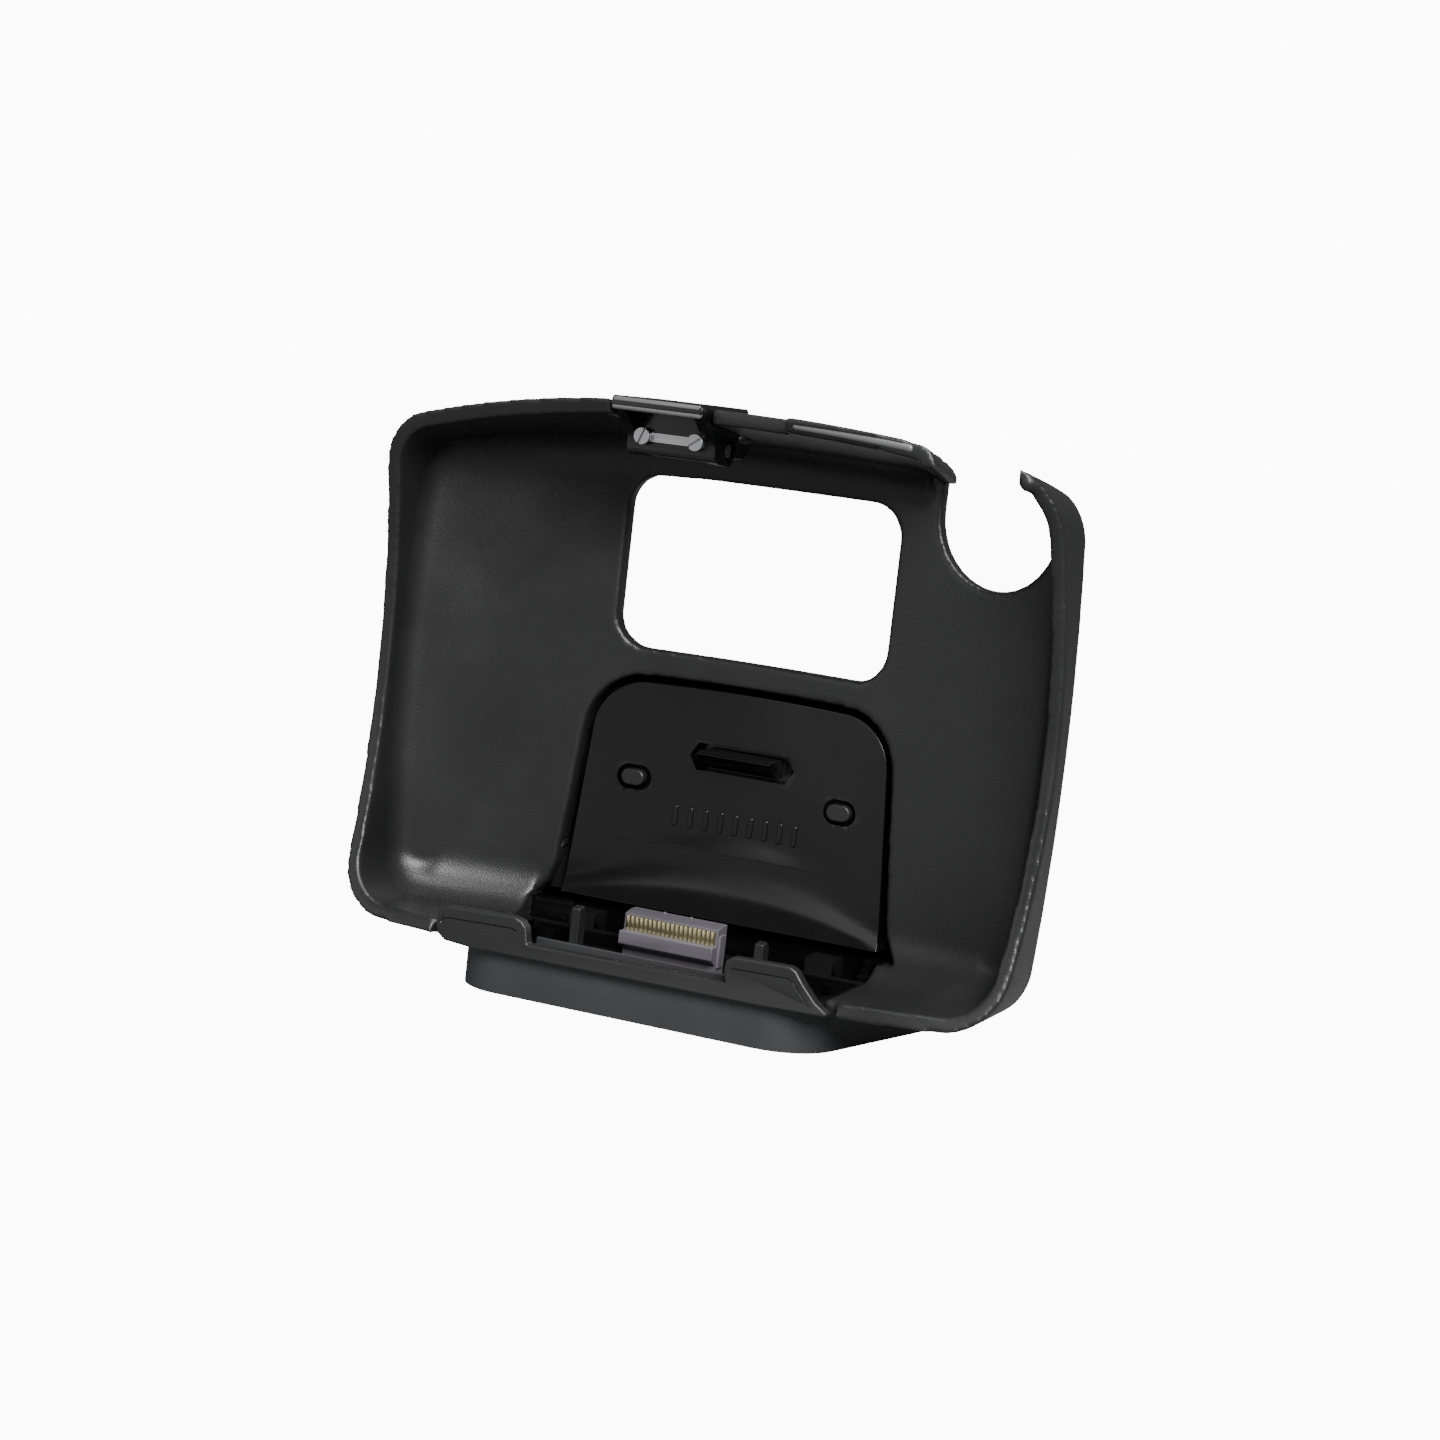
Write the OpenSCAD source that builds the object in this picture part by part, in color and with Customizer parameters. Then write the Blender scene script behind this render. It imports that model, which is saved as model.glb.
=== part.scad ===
// Docking cradle for a portable navigator: dished shell, catch, dock plate, connector trough and casing.
// Drawn from the foot of the dock plate (X right, Y rearwards, Z up), then seated on the rear mounting face.

/* [Shell] */
// Half of the shell's width at its waist
shell_half = 59.3; // [57:0.1:62]
// Height of the shell's crown above the dock plate's foot
shell_top = 84.7; // [83:0.1:87]
// Depth of the shell's underside below the dock plate's foot
shell_base = 6.7; // [6.5:0.1:7]
// Thickness of the side, top and bottom walls
wall = 2.4; // [2:0.1:2.8]
// Thickness of the dished back
back_t = 3; // [2.6:0.1:3.2]
// Radius of the back's dished inner face
dish_r = 120; // [116:1:126]
// Depth of the rim's waist in front of the dock plate's foot
rim_depth = 16; // [14:0.5:17]
// Radius of the scoop that shapes the rim
scoop_r = 97.5; // [90:0.5:110]
// Radius of the shell's four corners
corner_r = 10; // [8:0.5:12]

/* [Window and notch] */
// Half of the window's width
window_half = 24; // [20:0.5:25]
// Height of the window's lower edge
window_low = 42.8; // [42:0.1:44]
// Height of the window's upper edge
window_high = 71.8; // [68:0.1:73]
// Radius of the window's corners
window_r = 5.5; // [3:0.5:8]
// Left side of the corner notch
notch_left = 31; // [30:0.5:33]
// Right side of the corner notch
notch_right = 53; // [52:0.5:54]
// Height of the notch's round foot
notch_foot = 60.8; // [59:0.2:64]
// Where the hook's tip ends, across the notch's mouth
hook_tip = 50.8; // [50:0.1:52]

/* [Dock] */
// Half of the dock plate's width at its foot
plate_half = 28.6; // [28:0.1:29]
// Height of the dock plate
plate_h = 37.4; // [37:0.1:38]
// Gap between the dock plate and the shell
plate_gap = 1.2; // [0.9:0.1:1.3]
// Middle of the connector, across
connector_x = -3.9; // [-5:0.1:-3]
// Number of connector contacts
contact_count = 20; // [18:2:20]
// Distance from contact to contact
contact_pitch = 0.8; // [0.7:0.05:0.8]
// Travel of the sprung tongue
tongue_travel = 2.5; // [1.5:0.1:3]

/* [Catch] */
// Middle of the catch, across
catch_x = -8.1; // [-9:0.1:-8]
// Height of the catch's hinge pin
catch_z = 77.6; // [77.2:0.1:78]
// Half of the catch lever's width
lever_half = 7.6; // [7.4:0.1:7.7]
// Slope of the shell's top towards the back, in degrees
top_slope = 8; // [6:0.5:9]
// Where the finger relief beside the catch ends
relief_end = 13.5; // [12:0.5:16]

/* [Casing] */
// Depth of the lower housing's underside below the dock plate's foot
housing_base = 13.6; // [13.4:0.1:15]
// Depth of the mounting face behind the dock plate's foot
mount_y = 18.5; // [18.2:0.1:19]
// Height of the mounting pattern's middle
mount_z = 19; // [18.5:0.1:19.5]
// Spacing of the mounting holes, across
mount_dx = 38.05; // [38:0.01:38.1]
// Spacing of the mounting holes, in height
mount_dz = 30.17; // [30:0.01:30.2]

/* [Hidden] */

eps = 0.01;
// Smooth facet counts: large dished faces, ordinary rounds, small rounds
fn_big = 240;
fn = 48;
fn_small = 32;

// Shell outline: waist height, crowned sides, top and base
waist_z = 37;
side_r = 430;
crown_left = 210;
crown_right = 400;
base_r = 800;
dish_y = 3;
dish_c = [0, dish_y - dish_r];
floor_z = wall - shell_base;
deep = 200;

// Trough hole in the shell's floor
trough_left = -33;
trough_right = 29.5;
trough_front = -24.2;
trough_back = 2.6;
trough_step = -1.5;
trough_neck = 26;

// Front sill
sill_front = -26.4;
sill_back = trough_front;

// Tray and board levels
tray_t = 1.3;
tray_floor = -7.2;
tray_under = tray_floor - tray_t;
tray_gap = 0.3;
tray_inset = 1;
tray_step = -6.1;
board_top = -9.4;
board_t = 1.6;
housing_wall = 2;
housing_floor_t = 1.6;

// Catch: hinge pin and its ears
catch_y = -14.8;
pin_r = 1.1;
pin_fit = 0.05;
boss_r = 2.4;
knuckle_r = 2;
lever_gap = 0.3;
cheek_t = 1.7;
bar_y = -19.5;
strip_z = 78.6;
strip_screw_x = 4.6;
slot_back = -6.5;
relief_back = -24.2;
rim_y = -27;

// Tongue and its retainer
tongue_half = 6.5;
tongue_z = 26;
tongue_nose = -0.6;
flange_front = 6.3;
flange_t = 1.2;
retainer_front = 6.1;
retainer_back = 12.8;
retainer_t = 1.2;

// Screws: shank radius, head radius, head height; a pilot hole is a thread's fit wider than the shank
m2 = [1, 1.8, 1.2];
board_screw = [0.75, 1.4, 0.8];
plate_screw = [0.8, 1.4, 1];
retainer_screw = [0.65, 1.4, 0.9];
thread_fit = 0.02;
shank_gap = 0.15;

// Dock plate layers behind the dish
face_r = dish_r + 1;
flare_h = 10;
flare_d = 4;
flange_r0 = dish_r + back_t + 0.05;
flange_layer = 1.5;
flange_open = 27;
flange_grow = 3.6;
plate_screw_at = [for (s = [-1, 1], z = [8, 28]) [s * (z > 20 ? 28.6 : 30.2), z]];
cover_screw_at = [[-26, 16], [26, 16], [-6, 35.2], [6, 35.2]];
housing_screw_at = [[-28.5, -18], [22.5, -18], [-28.5, -4.5], [24.5, -4.5]];
board_screw_at = [[-20, -15], [14, -15], [-20, -5], [14, -5]];
tray_screw_x = [-23, 20];
tray_screw_z = -4.2;
retainer_screw_at = [[-11.4, 21.9], [11.4, 30.1]];

// Sockets at the back
power_x = -20.5;
power_z = -4.3;
power_bore = 2.75;
aerial_x = 21;
aerial_z = -5;
aerial_bore = 1.7;
cover_back = 17;
cover_wall = 2;
cover_half = 36;
cover_top = 40.6;

// Helpers -----------------------------------------------------------------

// Moves a piece from the dock plate's foot to the mounting face's middle
module seat() {
    translate([0, -mount_y, -mount_z]) children();
}

// Point at an angle on a circle
function polar(c, r, a) = c + r * [cos(a), sin(a)];

// Points along an arc, leaving out the first one when asked
function arc(c, r, a0, a1, n, skip = 0) = [for (i = [skip:n]) polar(c, r, a0 + (a1 - a0) * i / n)];

// Angle from one point to another
function bearing(a, b) = atan2(b[1] - a[1], b[0] - a[0]);

// Crossing of two circles, to the left of the line from a to b
function meet(a, ra, b, rb) =
    let (d = norm(b - a), m = (ra * ra - rb * rb + d * d) / (2 * d), h = sqrt(ra * ra - m * m), u = (b - a) / d)
    a + m * u + h * [-u[1], u[0]];

// Outline points mirrored to both sides of X = 0
function both_sides(half) =
    concat(half, [for (i = [len(half) - 2:-1:1]) [-half[i][0], half[i][1]]]);

// Shell outline in X and Z, moved inwards by t; the crown is flatter to the right of the middle
side_c = [shell_half - side_r, waist_z];
base_c = [0, base_r - shell_base];
lower_c = meet(base_c, base_r - corner_r, side_c, side_r - corner_r);
function upper_half(t, crown) =
    let (top_c = [0, shell_top - crown], c = meet(side_c, side_r - corner_r, top_c, crown - corner_r))
    concat(arc(side_c, side_r - t, 0, bearing(side_c, c), 5),
        arc(c, corner_r - t, bearing(side_c, c), bearing(top_c, c), 10, 1),
        arc(top_c, crown - t, bearing(top_c, c), 90, 8, 1));
function lower_half(t) = concat(
    arc(base_c, base_r - t, -90, bearing(base_c, lower_c), 4),
    arc(lower_c, corner_r - t, bearing(base_c, lower_c), bearing(side_c, lower_c), 10, 1),
    arc(side_c, side_r - t, bearing(side_c, lower_c), 0, 5, 1));
function rest(points) = [for (i = [1:len(points) - 1]) points[i]];
function flipped(points, skip) = [for (i = [len(points) - 1 - skip:-1:0]) [-points[i][0], points[i][1]]];
function outline(t) = concat(lower_half(t), rest(upper_half(t, crown_right)),
    flipped(upper_half(t, crown_left), 1), [for (p = flipped(lower_half(t), 1)) if (p[0] < -eps) p]);
// Same outline with straight sides that run far down, for the sloping top
function cap_outline(t) = concat([[shell_half - t, -deep]], upper_half(t, crown_right),
    flipped(upper_half(t, crown_left), 1), [[t - shell_half, -deep]]);

// Rectangle with round corners
function round_rect(x0, x1, y0, y1, r, n = 8) = concat(
    arc([x1 - r, y0 + r], r, -90, 0, n), arc([x1 - r, y1 - r], r, 0, 90, n),
    arc([x0 + r, y1 - r], r, 90, 180, n), arc([x0 + r, y0 + r], r, 180, 270, n));

// Prism of an X-Z outline, from y0 back to y1
module prism(points, y0, y1) {
    translate([0, y1, 0]) rotate([90, 0, 0]) linear_extrude(y1 - y0) polygon(points);
}

// Prism of a Y-Z outline, from x0 to x1
module bar(points, x0, x1) {
    translate([x0, 0, 0]) rotate([90, 0, 90]) linear_extrude(x1 - x0) polygon(points);
}

// Box between two corners
module block(low, high) {
    translate(low) cube(high - low);
}

// Upright cylinder about the dish's axis
module dish(r, z0 = -deep / 2, z1 = deep) {
    translate([dish_c[0], dish_c[1], z0]) cylinder(r = r, h = z1 - z0, $fn = fn_big);
}

// Round rod along X, Y or Z
module rod_x(r, x0, x1, y, z, facets = fn) {
    translate([x0, y, z]) rotate([0, 90, 0]) cylinder(r = r, h = x1 - x0, $fn = facets);
}
module rod_y(r, x, y0, y1, z, facets = fn) {
    translate([x, y1, z]) rotate([90, 0, 0]) cylinder(r = r, h = y1 - y0, $fn = facets);
}
module rod_z(r, x, y, z0, z1, facets = fn) {
    translate([x, y, z0]) cylinder(r = r, h = z1 - z0, $fn = facets);
}

// Cross-head screw whose head rests at the origin's Z = 0 and whose shank runs down
module screw(size, length) {
    slot_w = size[1] * 0.3;
    difference() {
        union() {
            rod_z(size[0], 0, 0, -length, 0, fn_small);
            rod_z(size[1], 0, 0, 0, size[2], fn_small);
        }
        for (turn = [0, 90])
            rotate([0, 0, turn])
                block([-size[1] * 0.6, -slot_w / 2, size[2] * 0.5], [size[1] * 0.6, slot_w / 2, size[2] + 1]);
    }
}

// Screw driven forwards from behind, its head resting at y
module screw_from_behind(x, y, z, size, length) {
    translate([x, y, z]) rotate([-90, 0, 0]) screw(size, length);
}

// Closed-coil or open-coil spring of separate rings joined by a spine, along +Y from the origin
module ring_spring(radius, wire, length, rings) {
    for (i = [0:rings - 1])
        translate([0, wire + (length - 2 * wire) * i / (rings - 1), 0]) rotate([90, 0, 0])
            rotate_extrude($fn = fn_small) translate([radius, 0]) circle(r = wire, $fn = 16);
    rod_y(wire, radius, wire, length - wire, 0, 16);
}

// Shell -------------------------------------------------------------------

// Dock plate's arch in X and Z, grown by g
shoulder_c = [17.4, 28.2];
shoulder_r = 9;
function arch(g) = both_sides([
    [0, 0], [plate_half + g, 0],
    each arc(shoulder_c, shoulder_r + g, 3, 80, 8),
    [0, plate_h + g]]);

// Shell body, moved inwards by t and cut to the dish's radius r
module body(t, r) {
    intersection() {
        prism(outline(t), -deep / 4, deep / 4);
        translate([0, rim_y, shell_top]) rotate([-top_slope, 0, 0]) translate([0, -rim_y, -shell_top])
            prism(cap_outline(t), -deep / 2, deep / 2);
        dish(r);
    }
}

// Opening in the shell for the dock plate, flared at its foot
function arch_opening() = both_sides([
    [0, -1.4], [plate_half + plate_gap + 3.4, -1.4], [plate_half + plate_gap + 1.3, 1.2],
    [plate_half + plate_gap, 5],
    each arc(shoulder_c, shoulder_r + plate_gap, 3, 80, 8),
    [0, plate_h + plate_gap]]);

function notch_outline() =
    let (r = (notch_right - notch_left) / 2, c = [notch_left + r, notch_foot + r])
    concat(arc(c, r, 180, 360, 16), [[notch_right, 90], [notch_left, 90]]);

module notch_cut() {
    intersection() {
        prism(notch_outline(), -deep / 4, deep / 4);
        prism(outline(wall), -deep / 4, deep / 4);
    }
    block([notch_left + 2, -deep / 4, shell_top - 10], [hook_tip, deep / 4, shell_top + 5]);
}

// Half of the hinge knuckle, hanging from the top wall behind the catch
module knuckle(x0, x1) {
    bar([[catch_y, catch_z - 1.6], [catch_y, catch_z + knuckle_r - eps], [slot_back, catch_z + knuckle_r],
        [slot_back + 3, catch_z + 3.2], [slot_back + 6, catch_z + 2], [slot_back + 3, catch_z - 1.6]], x0, x1);
    rod_x(knuckle_r, x0, x1, catch_y, catch_z);
}

module cradle_shell() {
    slot_half = lever_half + lever_gap;
    knuckle_half = lever_half - cheek_t - lever_gap;
    color([0.12, 0.12, 0.13]) seat() difference() {
        union() {
            difference() {
                body(0, dish_r + back_t);
                body(wall, dish_r);
                rod_x(scoop_r, -shell_half - 2, shell_half + 2, -rim_depth - scoop_r, waist_z, fn_big);
                block([catch_x - slot_half, -deep / 4, shell_top - 12], [catch_x + slot_half, slot_back, shell_top + 5]);
                block([catch_x, -deep / 4, shell_top - 12], [relief_end, relief_back, shell_top + 5]);
            }
            knuckle(catch_x - knuckle_half, catch_x - spring_half);
            knuckle(catch_x + spring_half, catch_x + knuckle_half);
        }
        prism(round_rect(-window_half, window_half, window_low, window_high, window_r), -6, 10);
        notch_cut();
        prism(arch_opening(), -6, 10);
        block([trough_left, trough_front, -shell_base - 2], [trough_right, trough_step, -1]);
        block([-trough_neck, trough_front, -shell_base - 2], [trough_neck, trough_back, -1]);
        block([-38.9, -deep / 4, -shell_base - 2], [32.1, sill_back, 5]);
        rod_x(pin_r, catch_x - lever_half, catch_x + lever_half, catch_y, catch_z);
        for (p = plate_screw_at) rod_y(plate_screw[0] + thread_fit, p[0], 0.7, 8, p[1], fn_small);
        for (x = tray_screw_x) rod_y(m2[0] + shank_gap, x, 0, 8, tray_screw_z, fn_small);
    }
}

// Sill across the mouth of the trough, with its two lips
sill_points = [
    [-31, -6.6], [-36, -6.2], [-37.4, -5.2], [-37.9, -3.7], [-37.6, -2], [-36.6, -0.8],
    [-35.6, -0.5], [-24, -0.1], [-22.4, -0.6], [-21.5, -1.6], [-21.1, -4.1],
    [13.7, -3.8], [13.2, -1.6], [13.5, -0.2], [14.7, 0.5], [24.1, 0.7], [25.3, 0.2], [26.7, -1.6],
    [29, -4.1], [31, -5.4], [31, -6], [20, -6.4]];

module front_sill() {
    color([0.15, 0.15, 0.16]) seat() prism(sill_points, sill_front, sill_back);
}

// Casing ------------------------------------------------------------------

// Plan of the casing in X and Y, moved inwards by t
rear_r = 3;
function housing_plan(t) =
    let (r = max(rear_r - t, 0.5), x = cover_half - t - r, y = cover_back - t - r)
    concat(arc([18.7, -14], 10.5 - t, -90, -10.6, 8), arc([x, y], r, 0, 90, 6), arc([-x, y], r, 90, 180, 6),
        arc([9 - cover_half, -15.5], 9 - t, 180, 270, 8));

// What lies inside that plan, between two heights
module in_plan(t, z0, z1) {
    translate([0, 0, z0]) linear_extrude(z1 - z0) polygon(housing_plan(t));
}

module lower_housing() {
    top = -shell_base - 0.05;
    rear_top = -8.4;
    color([0.27, 0.29, 0.31]) seat() difference() {
        union() {
            difference() {
                in_plan(0, -housing_base, top);
                in_plan(housing_wall, housing_floor_t - housing_base, 0);
                in_plan(tray_inset - 0.1, tray_under - 0.1, 0);
            }
            for (p = housing_screw_at)
                rod_z(2.4, p[0], p[1], -housing_base + eps, board_top - 0.4);
        }
        block([-cover_half - 1, 8, rear_top], [cover_half + 1, cover_back + 1, 0]);
        for (p = housing_screw_at) {
            rod_z(m2[0] + shank_gap, p[0], p[1], -housing_base - 1, 0, fn_small);
            rod_z(m2[1] + 0.2, p[0], p[1], -housing_base - 1, m2[2] + 0.2 - housing_base, fn_small);
        }
    }
}

module dock_tray() {
    left = trough_left + tray_gap;
    right = trough_right - tray_gap;
    front = sill_back + tray_gap;
    back = trough_step - tray_gap;
    neck = trough_neck - tray_gap;
    rear = trough_back - tray_gap;
    rim = -4.9;
    color([0.04, 0.04, 0.045]) seat() difference() {
        union() {
            difference() {
                intersection() {
                    block([left, front, tray_under], [right, back, rim]);
                    union() {
                        in_plan(tray_inset, tray_under - 1, 0);
                        block([left - 1, front - 1, tray_step], [right + 1, back + 1, 0]);
                    }
                }
                intersection() {
                    block([left + tray_t, front + tray_t, tray_floor], [right - tray_t, back - tray_t, 1]);
                    in_plan(tray_inset + 0.9, tray_under, 2);
                }
            }
            block([-neck, back - tray_t, tray_under], [neck, rear, tray_floor]);
            for (p = housing_screw_at) rod_z(2.4, p[0], p[1], board_top - 0.35, tray_floor + 1.6);
            for (x = tray_screw_x)
                block([x - 2.4, rear - 5, tray_floor - eps], [x + 2.4, rear, rim + 2.6]);
            for (p = board_screw_at) rod_z(1.7, p[0], p[1], board_top + 0.02, tray_under + eps);
        }
        for (p = board_screw_at)
            rod_z(board_screw[0] + thread_fit, p[0], p[1], board_top - 1, tray_floor - 0.4, fn_small);
        block([connector_x - 8.8, -11.2, tray_under - 1], [connector_x + 8.8, -4.8, 1]);
        for (p = housing_screw_at)
            rod_z(m2[0] + thread_fit, p[0], p[1], board_top - 1, tray_floor + 1.1, fn_small);
        for (x = tray_screw_x) rod_y(m2[0] + thread_fit, x, rear - 4.3, rear + 1, tray_screw_z, fn_small);
    }
}

// Pale strip standing just behind the low middle of the sill
module tray_strip() {
    y0 = sill_back + tray_gap + tray_t + 0.02;
    color([0.45, 0.45, 0.47]) seat()
        block([connector_x - 17.4, y0, tray_floor], [connector_x + 17.4, y0 + 0.5, -3.4]);
}

module tray_screws() {
    color([0.5, 0.5, 0.52]) seat()
        for (x = tray_screw_x) screw_from_behind(x, 6.05, tray_screw_z, m2, 6.5);
}

module rear_cover() {
    inner = cover_back - cover_wall;
    corner = 4;
    color([0.13, 0.13, 0.14]) seat() difference() {
        union() {
            difference() {
                prism(round_rect(-cover_half, cover_half, -shell_base, cover_top, corner), -2, cover_back);
                prism(round_rect(cover_wall - cover_half, cover_half - cover_wall, -shell_base - 9,
                    cover_top - cover_wall, corner - cover_wall), -3, inner);
            }
            block([-cover_half + 3, inner, -8.3], [cover_half - 3, cover_back, 0]);
            prism(round_rect(-26, 26, mount_z - 19.6, mount_z + 19.6, 4), cover_back - eps, mount_y);
            for (p = cover_screw_at) rod_y(2.9, p[0], 9.1, inner + eps, p[1]);
        }
        dish(dish_r + back_t + 0.05);
        intersection() {
            dish(flange_r0 + flange_layer + 0.05);
            prism(arch(flange_grow + 0.1), -8, 14);
        }
        for (p = cover_screw_at) {
            rod_y(m2[0] + shank_gap, p[0], 8, mount_y + 1, p[1], fn_small);
            rod_y(m2[1] + 0.2, p[0], 14, mount_y + 1, p[1], fn_small);
        }
        for (sx = [-1, 1], sz = [-1, 1])
            rod_y(2.6, sx * mount_dx / 2, inner - 1, mount_y + 1, mount_z + sz * mount_dz / 2);
        rod_y(power_bore + 0.9, power_x, inner - 1, cover_back + 1, power_z);
        rod_y(aerial_bore + 1.3, aerial_x, inner - 1, cover_back + 1, aerial_z);
    }
}

module cover_screws() {
    color([0.5, 0.5, 0.52]) seat()
        for (p = cover_screw_at) screw_from_behind(p[0], 14, p[1], m2, 8);
}

module housing_screws() {
    color([0.5, 0.5, 0.52]) seat()
        for (p = housing_screw_at)
            translate([p[0], p[1], m2[2] + 0.2 - housing_base]) rotate([180, 0, 0]) screw(m2, 6);
}

// Steel plate inside the cover, behind the mounting face
module mount_plate() {
    color([0.6, 0.6, 0.62]) seat() difference() {
        prism(round_rect(-22.6, 22.6, -0.5, 38, 3), 13.2, cover_back - cover_wall - 0.05);
        for (sx = [-1, 1], sz = [-1, 1])
            rod_y(2.6, sx * mount_dx / 2, 12, mount_y, mount_z + sz * mount_dz / 2);
        for (p = cover_screw_at) rod_y(3.2, p[0], 12, mount_y, p[1]);
    }
}

// Threaded brass inserts of the mounting pattern
module mount_inserts() {
    color([0.75, 0.6, 0.3]) seat()
        for (sx = [-1, 1], sz = [-1, 1]) {
            x = sx * mount_dx / 2;
            z = mount_z + sz * mount_dz / 2;
            difference() {
                rod_y(2.6, x, 13.2, mount_y, z);
                rod_y(1.65, x, 12, mount_y + 1, z);
            }
        }
}

// Dock plate --------------------------------------------------------------

// Foot of the dock plate in Y and Z: hollow curve that runs forwards to a straight front edge
flare_r = (flare_d * flare_d + flare_h * flare_h) / (2 * flare_d);
flare_c = [flare_d - flare_r, flare_h];
flare_points = concat(arc(flare_c, flare_r, bearing(flare_c, [0, 0]), 0, 10),
    [[flare_d + 2, flare_h], [flare_d + 2, 0]]);

module dock_plate() {
    plate_t = 2.2;
    back_r = face_r + plate_t;
    color([0.06, 0.06, 0.065]) seat() difference() {
        union() {
            intersection() {
                union() {
                    difference() {
                        dish(back_r);
                        dish(face_r);
                    }
                    intersection() {
                        bar(flare_points, -plate_half - 1, plate_half + 1);
                        dish(back_r);
                    }
                }
                prism(arch(0), -8, 10);
            }
            intersection() {
                difference() {
                    dish(flange_r0 + flange_layer, -1, plate_h + 8);
                    dish(flange_r0, -2, plate_h + 9);
                }
                difference() {
                    prism(arch(flange_grow), -8, 14);
                    block([-flange_open, -deep, -5], [flange_open, deep, flare_h]);
                }
            }
            intersection() {
                union() {
                    for (p = cover_screw_at) rod_y(2.6, p[0], 0, 9, p[1]);
                    for (p = retainer_screw_at) rod_y(1.5, p[0], 0, 6, p[1]);
                }
                difference() {
                    dish(dish_r + 20);
                    dish(back_r - 0.5);
                }
            }
        }
        prism([[-9.4, 26.1], [-8, 23.8], [8, 23.8], [9.4, 26.1], [8, 28.4], [-8, 28.4]], -8, 12);
        for (s = [-1, 1]) stud_shape(s, ring_size, -8, 12);
        for (p = plate_screw_at) rod_y(plate_screw[0] + shank_gap, p[0], -3, 10, p[1], fn_small);
        for (p = cover_screw_at) rod_y(m2[0] + thread_fit, p[0], 5, 10, p[1], fn_small);
        for (p = retainer_screw_at)
            rod_y(retainer_screw[0] + thread_fit, p[0], 4.8, 10, p[1], fn_small);
        block([-13.4, retainer_front - 0.05, tongue_z - 6.1], [13.4, 12, tongue_z + 6.1]);
    }
}

// Oblong stud or its ring: half of the flat's length, end radius
stud_x = 18.57;
stud_z = 21;
stud_size = [0.7, 1.4];
ring_size = [0.9, 2.1];
module stud_shape(side, size, y0, y1) {
    for (s = [-1, 1]) rod_y(size[1], side * stud_x + s * size[0], y0, y1, stud_z);
    block([side * stud_x - size[0], y0, stud_z - size[1]], [side * stud_x + size[0], y1, stud_z + size[1]]);
}

module stud_rings() {
    color([0.02, 0.02, 0.02]) seat()
        for (s = [-1, 1]) difference() {
            stud_shape(s, ring_size, 3, 5.2);
            stud_shape(s, stud_size, 0, 8);
        }
}

module locating_studs() {
    color([0.2, 0.2, 0.21]) seat() for (s = [-1, 1]) stud_shape(s, stud_size, 1.6, 5.2);
}

module latch_tongue() {
    tail = flange_front + flange_t;
    color([0.1, 0.1, 0.11]) seat() {
        bar([[tongue_nose, tongue_z + 1.2], [tongue_nose + 0.4, tongue_z + 0.7], [3.4, tongue_z - 1.4],
            [flange_front + eps, tongue_z - 1.4], [flange_front + eps, tongue_z + 1.6],
            [tongue_nose + 1.4, tongue_z + 1.6]], -tongue_half, tongue_half);
        block([-8, flange_front, tongue_z - 2.6], [8, tail, tongue_z + 2.6]);
        rod_y(1, 0, tail - eps, tail + 1.4, tongue_z, fn_small);
    }
}

module tongue_spring() {
    y0 = flange_front + flange_t;
    color([0.7, 0.7, 0.72]) seat() translate([0, y0 + 0.02, tongue_z])
        ring_spring(1.7, 0.25, retainer_back - retainer_t - y0 - 0.04, 5);
}

module tongue_retainer() {
    color([0.1, 0.1, 0.11]) seat() difference() {
        union() {
            difference() {
                block([-9.6, retainer_front, tongue_z - 4.2], [9.6, retainer_back, tongue_z + 4.2]);
                block([-8.2, 5, tongue_z - 2.8], [8.2, retainer_back - retainer_t, tongue_z + 2.8]);
            }
            for (p = retainer_screw_at)
                block([p[0] > 0 ? 9 : p[0] - 1.8, retainer_front, p[1] - 1.8],
                    [p[0] > 0 ? p[0] + 1.8 : -9, retainer_front + retainer_t, p[1] + 1.8]);
        }
        for (p = retainer_screw_at) rod_y(retainer_screw[0] + shank_gap, p[0], 5, 9, p[1], fn_small);
    }
}

module retainer_screws() {
    color([0.5, 0.5, 0.52]) seat()
        for (p = retainer_screw_at) screw_from_behind(p[0], retainer_front + retainer_t, p[1], retainer_screw, 2.4);
}

module plate_screws() {
    head_y = function (x) dish_c[1] + sqrt((flange_r0 + flange_layer) ^ 2 - (abs(x) - plate_screw[1]) ^ 2);
    color([0.5, 0.5, 0.52]) seat()
        for (p = plate_screw_at) screw_from_behind(p[0], head_y(p[0]), p[1], plate_screw, 3.2);
}

// Connector and board -----------------------------------------------------

module guide_tabs() {
    color([0.16, 0.16, 0.17]) seat()
        for (s = [-1, 1])
            bar([[-10.1, tray_floor], [-7.6, tray_floor], [-7.4, -1], [-8.6, 0.1], [-10.2, -0.3]],
                connector_x + s * 16.5 - 1.1, connector_x + s * 16.5 + 0.5);
}

// Front face of the contact row
contact_face = -9;
module connector_body() {
    step_half = 8.4;
    color([0.42, 0.41, 0.46]) seat() {
        bar([[-5.2, board_top], [-5.2, 0.9], [-6.9, 0.9], [contact_face, 0.4], [contact_face, -2.3],
            [-10.75, -2.3], [-10.75, -4.45], [-8.75, -5.6], [-8.75, board_top]],
            connector_x - step_half, connector_x + step_half);
        block([connector_x + step_half - eps, -8.4, -6], [connector_x + step_half + 0.35, -6, -0.6]);
    }
}

module connector_contacts() {
    contact_w = 0.48;
    contact_t = 0.3;
    first = connector_x - contact_pitch * (contact_count - 1) / 2;
    color([0.85, 0.68, 0.3]) seat()
        for (i = [0:contact_count - 1])
            block([first + i * contact_pitch - contact_w / 2, contact_face - contact_t, -2.28],
                [first + i * contact_pitch + contact_w / 2, contact_face, 0.1]);
}

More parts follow.
